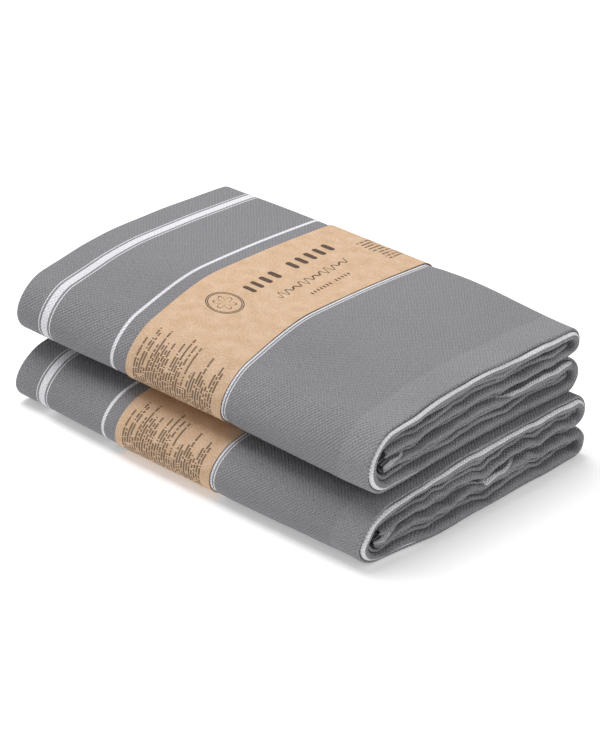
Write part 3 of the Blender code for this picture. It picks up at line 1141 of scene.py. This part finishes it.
def make_bars_group() -> None:
    """Bars: a row of equal upright pills, with a gap where one is left out."""
    inputs = {"Along": 0.0, "Across": 0.0, "Count": 10.0, "Pitch": 0.0096, "Width": 0.005}
    inputs |= {"Height": 0.0132, "Gap": 4.0}
    graph, given, out = open_group("Bars", inputs, ["Mask"])
    place = graph.math("DIVIDE", given["Along"], given["Pitch"])
    number = graph.math("FLOOR", place)
    off = graph.math("MULTIPLY", graph.math("SUBTRACT", graph.math("FRACT", place), 0.5), given["Pitch"])
    half = graph.math("MULTIPLY", given["Width"], 0.5)
    arm = graph.math("SUBTRACT", graph.math("MULTIPLY", given["Height"], 0.5), half)
    past = graph.math("MAXIMUM", graph.math("SUBTRACT", graph.math("ABSOLUTE", given["Across"]), arm), 0.0)
    square = graph.math("ADD", graph.math("MULTIPLY", off, off), graph.math("MULTIPLY", past, past))
    inside = graph.math("LESS_THAN", graph.math("SQRT", square), half)
    first = graph.math("GREATER_THAN", number, -0.5)
    last = graph.math("LESS_THAN", number, graph.math("SUBTRACT", given["Count"], 0.5))
    from_gap = graph.math("ABSOLUTE", graph.math("SUBTRACT", number, given["Gap"]))
    kept = graph.math("GREATER_THAN", from_gap, 0.5)
    mask = graph.math("MULTIPLY", graph.math("MULTIPLY", inside, kept), graph.math("MULTIPLY", first, last))
    graph.feed(out.inputs["Mask"], mask)


def make_squiggle_group() -> None:
    """Squiggle: a running wave that swells and shrinks, drawn with a fine pen."""
    inputs = {"Along": 0.0, "Across": 0.0, "Length": 0.084, "Height": 0.0044, "Wave": 0.0078, "Pen": 0.001}
    graph, given, out = open_group("Squiggle", inputs, ["Mask"])
    turns = graph.math("MULTIPLY", graph.math("DIVIDE", given["Along"], given["Wave"]), 2 * math.pi)
    slow = graph.math("MULTIPLY_ADD", graph.math("SINE", graph.math("MULTIPLY", turns, 0.29)), 0.35, 0.65)
    rise = graph.math("MULTIPLY", graph.math("SINE", turns), graph.math("MULTIPLY", slow, given["Height"]))
    aspect = graph.math("DIVIDE", given["Height"], given["Wave"])
    slope = graph.math("MULTIPLY", graph.math("COSINE", turns), aspect)
    steep = graph.math("SQRT", graph.math("MULTIPLY_ADD", graph.math("MULTIPLY", slope, slope), 20.0, 1.0))
    off = graph.math("DIVIDE", graph.math("ABSOLUTE", graph.math("SUBTRACT", given["Across"], rise)), steep)
    inside = graph.math("LESS_THAN", off, graph.math("MULTIPLY", given["Pen"], 0.5))
    started = graph.math("GREATER_THAN", given["Along"], 0.0)
    ended = graph.math("LESS_THAN", given["Along"], given["Length"])
    graph.feed(out.inputs["Mask"], graph.math("MULTIPLY", inside, graph.math("MULTIPLY", started, ended)))


def make_rosette_group() -> None:
    """Rosette: two thin rings round a six-petalled outline."""
    inputs = {"Along": 0.0, "Across": 0.0, "Radius": 0.014, "Pen": 0.0005}
    graph, given, out = open_group("Rosette", inputs, ["Mask"])
    square = graph.math("MULTIPLY", given["Along"], given["Along"])
    radius = graph.math("SQRT", graph.math("MULTIPLY_ADD", given["Across"], given["Across"], square))
    turn = graph.math("ARCTAN2", given["Across"], given["Along"])
    petal = graph.math("ABSOLUTE", graph.math("COSINE", graph.math("MULTIPLY", turn, 3.0)))
    outline = graph.math("MULTIPLY", given["Radius"], graph.math("MULTIPLY_ADD", petal, 0.42, 0.2))
    rings = [graph.math("MULTIPLY", given["Radius"], share) for share in (1.0, 0.9)]
    mask = 0.0
    for target in (*rings, outline):
        off = graph.math("ABSOLUTE", graph.math("SUBTRACT", radius, target))
        near = graph.math("LESS_THAN", off, given["Pen"])
        mask = graph.math("MAXIMUM", near, mask)
    graph.feed(out.inputs["Mask"], mask)


# ---------------------------------------------------------------- finishes


Colour = tuple[float, float, float]


def open_material(name: str) -> tuple[bpy.types.Material, Graph, bpy.types.Node]:
    """Start a material; gives it, its graph and its Principled shader."""
    material = bpy.data.materials.new(name)
    material.use_nodes = True
    return material, Graph(material.node_tree), material.node_tree.nodes["Principled BSDF"]


@dataclass(frozen=True)
class Stripe:
    """One white line across the towel: distance from the hemmed end, and width."""

    centre: float
    width: float


OUTER_STRIPES = (
    Stripe(0.1435, 0.9 * MM),
    Stripe(0.1462, 1.6 * MM),
    Stripe(0.1489, 0.9 * MM),
    Stripe(0.2580, 2.9 * MM),
    Stripe(0.3207, 0.9 * MM),
    Stripe(0.3262, 6.4 * MM),
    Stripe(0.3317, 0.9 * MM),
)
FOLD_LINE_WIDTH = 2.6 * MM


@dataclass(frozen=True)
class ClothFinish:
    """Flat-woven cotton with white lines woven in, the same from both ends."""

    grey: Colour = (0.262, 0.257, 0.273)
    hem_grey: Colour = (0.292, 0.287, 0.304)
    white: Colour = (0.83, 0.83, 0.87)
    weave_pitch: float = 1.6 * MM
    # weave_shade scales the weave's Shade: random fibre tone plus painted shade in the yarn hollows.
    weave_shade: float = 0.62
    weave_mean: float = 1.25
    bump: float = 1.1 * MM

    def make(self, name: str, stripes: Sequence[Stripe], length: float, hem: float) -> bpy.types.Material:
        """Make the material for a towel whose UVs are its flat coordinates in metres.

        Args:
            name: The material's name.
            stripes: Lines, placed from the first end; the other end mirrors them.
            length: Flat length of the towel.
            hem: Width of its hems.

        Returns:
            The material.
        """
        material, graph, shader = open_material(name)
        vector, along, _ = graph.flat()
        place = graph.add("ShaderNodeTexCoord").outputs["Object"]
        weave = graph.group("Weave", Flat=vector, Pitch=self.weave_pitch)
        mottle = graph.group("Mottle", Place=vector)
        ragged = graph.math("MULTIPLY", graph.math("SUBTRACT", graph.noise(vector, 900.0), 0.5), 0.5 * MM)
        from_end = graph.math("MINIMUM", along, graph.math("SUBTRACT", length, along))
        read = graph.math("ADD", from_end, ragged)
        mask = 0.0
        for stripe in stripes:
            line = graph.group("Line", Along=read, Centre=stripe.centre, Width=stripe.width, Edge=0.35 * MM)
            mask = graph.math("MAXIMUM", line.outputs["Mask"], mask)
        in_hem = graph.group("Line", Along=from_end, Centre=0.0, Width=2 * hem, Edge=1.2 * MM).outputs["Mask"]
        base = graph.mix(in_hem, (*self.grey, 1.0), (*self.hem_grey, 1.0))
        base = graph.mix(mask, base, (*self.white, 1.0))
        # The colour is scaled by the weave's Shade (painted shade in the yarn hollows plus random fibre tone)
        # and by random mottle; calm keeps most of this off the white lines.
        rest = 1.0 - self.weave_shade * self.weave_mean
        shade = graph.math("MULTIPLY_ADD", weave.outputs["Shade"], self.weave_shade, rest)
        shade = graph.math("MULTIPLY_ADD", mottle.outputs["Value"], 0.16, shade)
        calm = graph.math("MULTIPLY_ADD", mask, -0.75, 1.0)
        shade = graph.math("MULTIPLY_ADD", graph.math("SUBTRACT", shade, 1.0), calm, 1.0)
        toned = graph.add("ShaderNodeVectorMath", {0: base}, operation="SCALE")
        graph.feed(toned.inputs["Scale"], shade)
        graph.feed(shader.inputs["Base Color"], toned.outputs[0])
        shader.inputs["Roughness"].default_value = 0.95
        shader.inputs["Specular IOR Level"].default_value = 0.15
        shader.inputs["Sheen Weight"].default_value = 0.12
        shader.inputs["Sheen Roughness"].default_value = 0.5
        soft = graph.math("MULTIPLY_ADD", graph.noise(place, 60.0), 2.5, weave.outputs["Height"])
        bump = graph.add("ShaderNodeBump", {"Height": soft, "Strength": 0.8, "Distance": self.bump})
        graph.feed(shader.inputs["Normal"], bump.outputs[0])
        return material


@dataclass(frozen=True)
class ThreadFinish:
    """Matt sewing thread, a shade paler than the cloth."""

    colour: Colour = (0.33, 0.325, 0.345)

    def make(self, name: str) -> bpy.types.Material:
        """Make the material: ply twist as fine diagonal shading."""
        material, graph, shader = open_material(name)
        place = graph.add("ShaderNodeTexCoord").outputs["Object"]
        twist = graph.noise(place, 2600.0)
        dark = tuple(0.75 * part for part in self.colour)
        mixed = graph.mix(twist, (*self.colour, 1.0), (*dark, 1.0))
        graph.feed(shader.inputs["Base Color"], mixed)
        shader.inputs["Roughness"].default_value = 0.8
        bump = graph.add("ShaderNodeBump", {"Height": twist, "Strength": 0.3, "Distance": 0.1 * MM})
        graph.feed(shader.inputs["Normal"], bump.outputs[0])
        return material


@dataclass(frozen=True)
class KraftFinish:
    """Brown recycled card with fibre flecks and dark brown filler print."""

    card: Colour = (0.73, 0.54, 0.395)
    dark: Colour = (0.53, 0.345, 0.205)
    ink: Colour = (0.045, 0.03, 0.022)

    def make(self, name: str, full_print: bool) -> bpy.types.Material:
        """Make the material for a band whose UVs are x and distance across, in metres.

        Both skins of a band carry the same UVs, so the print is on its inside too.

        Args:
            name: The material's name.
            full_print: Whether the top carries its row of bars, squiggle and rosette.

        Returns:
            The material.
        """
        material, graph, shader = open_material(name)
        vector, x, y = graph.flat()
        fleck = graph.noise(vector, 700.0, 4.0)
        broad = graph.noise(vector, 90.0, 4.0)
        mixed = graph.math("ADD", graph.math("MULTIPLY", fleck, 0.65), graph.math("MULTIPLY", broad, 0.35))
        level = graph.math("MULTIPLY", graph.math("SUBTRACT", mixed, 0.38), 3.2, clamp=True)
        card = graph.mix(level, (*self.dark, 1.0), (*self.card, 1.0))
        mask = self._print(graph, x, y, full_print)
        worn = graph.math("MULTIPLY", mask, graph.math("MULTIPLY_ADD", fleck, 0.3, 0.75), clamp=True)
        graph.feed(shader.inputs["Base Color"], graph.mix(worn, card, (*self.ink, 1.0)))
        shader.inputs["Roughness"].default_value = 0.82
        shader.inputs["Specular IOR Level"].default_value = 0.25
        bump = graph.add("ShaderNodeBump", {"Height": mixed, "Strength": 0.25, "Distance": 0.25 * MM})
        graph.feed(shader.inputs["Normal"], bump.outputs[0])
        return material

    def _print(self, graph: Graph, x: Feed, y: Feed, full_print: bool) -> bpy.types.NodeSocket:
        """Ink mask of the whole print.

        Args:
            graph: Where to add its nodes.
            x: Distance from the band's middle towards the open end.
            y: Distance across the top, going on round both ends.
            full_print: Whether to add the row of bars, squiggle and rosette.

        Returns:
            1 where there is ink.
        """
        block = graph.group(
            "Dashes",
            Along=graph.math("SUBTRACT", y, -0.160),
            Across=graph.math("ADD", x, 0.041),
            Length=0.058,
            Rows=32.0,
            Pitch=0.0025,
            Size=0.0017,
        )
        mask = block.outputs["Mask"]
        if not full_print:
            return mask
        slant = graph.math("MULTIPLY_ADD", y, 0.10, x)
        parts = (
            graph.group(
                "Bars",
                Along=graph.math("ADD", y, 0.018),
                Across=graph.math("ADD", slant, 0.011),
                Pitch=0.0106,
            ),
            graph.group(
                "Squiggle",
                Along=graph.math("ADD", y, 0.007),
                Across=graph.math("SUBTRACT", slant, 0.0135),
            ),
            graph.group(
                "Bars",
                Along=graph.math("SUBTRACT", y, 0.014),
                Across=graph.math("SUBTRACT", slant, 0.0295),
                Count=13.0,
                Pitch=0.0036,
                Width=0.0016,
                Height=0.0036,
                Gap=7.0,
            ),
            graph.group(
                "Rosette",
                Along=graph.math("ADD", y, 0.046),
                Across=graph.math("ADD", x, 0.0125),
                Radius=0.0165,
            ),
            graph.group(
                "Dashes",
                Along=graph.math("SUBTRACT", y, 0.103),
                Across=graph.math("ADD", x, 0.011),
                Length=0.034,
                Rows=9.0,
                Pitch=0.0042,
                Size=0.0018,
            ),
        )
        for part in parts:
            mask = graph.math("MAXIMUM", mask, part.outputs["Mask"])
        return mask


@dataclass(frozen=True)
class GlueFinish:
    """Dried clear glue, faintly amber."""

    colour: Colour = (0.72, 0.64, 0.45)

    def make(self, name: str) -> bpy.types.Material:
        """Make the material: patches of gloss where the strip touched the card."""
        material, graph, shader = open_material(name)
        place = graph.add("ShaderNodeTexCoord").outputs["Object"]
        patch = graph.noise(place, 240.0, 3.0)
        graph.feed(shader.inputs["Base Color"], graph.mix(patch, (*self.colour, 1.0), (0.8, 0.76, 0.62, 1.0)))
        graph.feed(shader.inputs["Roughness"], graph.math("MULTIPLY_ADD", patch, 0.5, 0.15))
        return material


@dataclass(frozen=True)
class SatinFinish:
    """White satin label with grey filler dashes."""

    colour: Colour = (0.86, 0.86, 0.84)

    def make(self, name: str) -> bpy.types.Material:
        """Make the material: fine ribs across, and four rows of dashes."""
        material, graph, shader = open_material(name)
        vector, x, along = graph.flat()
        rib = graph.math("SINE", graph.math("MULTIPLY", along, 2 * math.pi / (0.4 * MM)))
        low = graph.math("SUBTRACT", x, 0.048)
        rows = graph.group(
            "Dashes",
            Along=low,
            Across=graph.math("SUBTRACT", along, 0.0015),
            Length=0.03,
            Rows=4.0,
            Pitch=0.002,
            Size=0.0009,
        )
        cloudy = graph.math("MULTIPLY_ADD", graph.noise(vector, 500.0), 0.1, 0.9)
        toned = graph.add("ShaderNodeVectorMath", {0: (*self.colour,)}, operation="SCALE")
        graph.feed(toned.inputs["Scale"], cloudy)
        inked = graph.mix(rows.outputs["Mask"], toned.outputs[0], (0.2, 0.2, 0.21, 1.0))
        graph.feed(shader.inputs["Base Color"], inked)
        shader.inputs["Roughness"].default_value = 0.38
        bump = graph.add("ShaderNodeBump", {"Height": rib, "Strength": 0.15, "Distance": 0.05 * MM})
        graph.feed(shader.inputs["Normal"], bump.outputs[0])
        return material


# ---------------------------------------------------------------- the towels and the stage


@dataclass
class TowelPack:
    """One towel of the stack with everything on it."""

    tier: Tier

    def build(self) -> None:
        """Build and dress every piece of this towel, parent it to its body and hide the imported part it
        replaces.
        """
        form = PackForm(self.tier)
        sheet = FoldedSheet(form)
        name = self.tier.value
        cloth = sheet.build()
        stripes = (*OUTER_STRIPES, Stripe(sheet.stripe_place(), FOLD_LINE_WIDTH))
        length = float(sheet.row_length[-1])
        material = ClothFinish().make(name + "_cloth", stripes, length, sheet.hem_width)
        thread = ThreadFinish().make(name + "_thread")
        outer, inner = (HemStitches(sheet, inner=flag).build() for flag in (False, True))
        label = CareLabel(sheet).build()
        band = BellyBand(sheet)
        card, glue = band.build(), band.build_glue()
        satin = SatinFinish().make(name + "_satin")
        kraft = KraftFinish().make(name + "_kraft", self.tier is Tier.UPPER)
        gluey = GlueFinish().make(name + "_glue")
        dressed = (
            (cloth, material, "_towel", "_towel_cloth", "cloth"),
            (outer, thread, "_towel", "_outer_hem_thread", "thread"),
            (inner, thread, "_towel", "_inner_hem_thread", "thread"),
            (label, satin, "_towel", "_care_label", "label_satin"),
            (card, kraft, "_band", "_paper_band", "kraft_paper"),
            (glue, gluey, "_band", "_band_glue", "glue"),
        )
        for piece, finish, body, node, slot in dressed:
            piece.data.materials.append(finish)
            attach(piece, name + body)
            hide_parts(name + node)
        across = float(WrapPath(form).stations().travel[-1])
        LOG.info("%s towel: flat %.3f x %.3f m", name, across, length)


@dataclass(frozen=True)
class Studio:
    """Pale floor, soft light and the camera."""

    floor_size: float = 14.0
    target: Colour = (0.0064, -0.0047, 0.0445)
    azimuth: float = 43.5
    elevation: float = 27.9
    distance: float = 2.264
    lens: float = 149.1
    sky: float = 0.42
    key_power: float = 42.5
    key_size: float = 1.6
    fill_power: float = 4.8

    def build_floor(self) -> None:
        """Lay the floor: a matt pale sheet, a little luminous so shadows stay faint."""
        half = self.floor_size / 2
        corners = np.array([(-half, -half, 0), (half, -half, 0), (half, half, 0), (-half, half, 0)], float)
        mesh = bpy.data.meshes.new("floor")
        mesh.from_pydata((corners - [0, 0, 0.0004]).tolist(), [], [(0, 1, 2, 3)])
        floor = bpy.data.objects.new("floor", mesh)
        bpy.context.scene.collection.objects.link(floor)
        material, graph, shader = open_material("pale_floor")
        shader.inputs["Base Color"].default_value = (0.9, 0.9, 0.9, 1)
        shader.inputs["Roughness"].default_value = 0.9
        shader.inputs["Specular IOR Level"].default_value = 0.1
        shader.inputs["Emission Color"].default_value = (1, 1, 1, 1)
        shader.inputs["Emission Strength"].default_value = 0.28
        mesh.materials.append(material)

    def add_area(self, name: str, place: Colour, power: float, size: float) -> None:
        """Add a square soft light aimed at the stack."""
        light = bpy.data.lights.new(name, "AREA")
        light.energy, light.size = power, size
        lamp = bpy.data.objects.new(name, light)
        lamp.location = place
        lamp.rotation_euler = (Vector(self.target) - Vector(place)).to_track_quat("-Z", "Y").to_euler()
        bpy.context.scene.collection.objects.link(lamp)

    def build(self) -> None:
        """Build the stage and point the camera."""
        scene = bpy.context.scene
        self.build_floor()
        world = bpy.data.worlds.new("soft_sky")
        world.use_nodes = True
        background = world.node_tree.nodes["Background"]
        background.inputs["Color"].default_value = (1, 1, 1, 1)
        background.inputs["Strength"].default_value = self.sky
        scene.world = world
        self.add_area("key", (-0.7, 0.1, 2.1), self.key_power, self.key_size)
        self.add_area("fill", (1.9, -0.1, 0.9), self.fill_power, 1.4)
        scene.view_settings.view_transform = "Standard"
        across, up = math.radians(self.azimuth), math.radians(self.elevation)
        back = Vector((math.sin(across) * math.cos(up), -math.cos(across) * math.cos(up), math.sin(up)))
        camera_data = bpy.data.cameras.new("camera")
        camera_data.lens = self.lens
        camera = bpy.data.objects.new("camera", camera_data)
        camera.location = Vector(self.target) + back * self.distance
        camera.rotation_euler = back.to_track_quat("Z", "Y").to_euler()
        scene.collection.objects.link(camera)
        scene.camera = camera


def main() -> None:
    """Make the shared node groups, build both towels and the stage; the builders log their sizes."""
    logging.basicConfig(level=logging.INFO, format="%(name)s: %(message)s")
    for make in (
        make_line_group,
        make_weave_group,
        make_mottle_group,
        make_dashes_group,
        make_bars_group,
        make_squiggle_group,
        make_rosette_group,
    ):
        make()
    for tier in (Tier.LOWER, Tier.UPPER):
        TowelPack(tier).build()
    Studio().build()


if __name__ == "__main__":
    main()
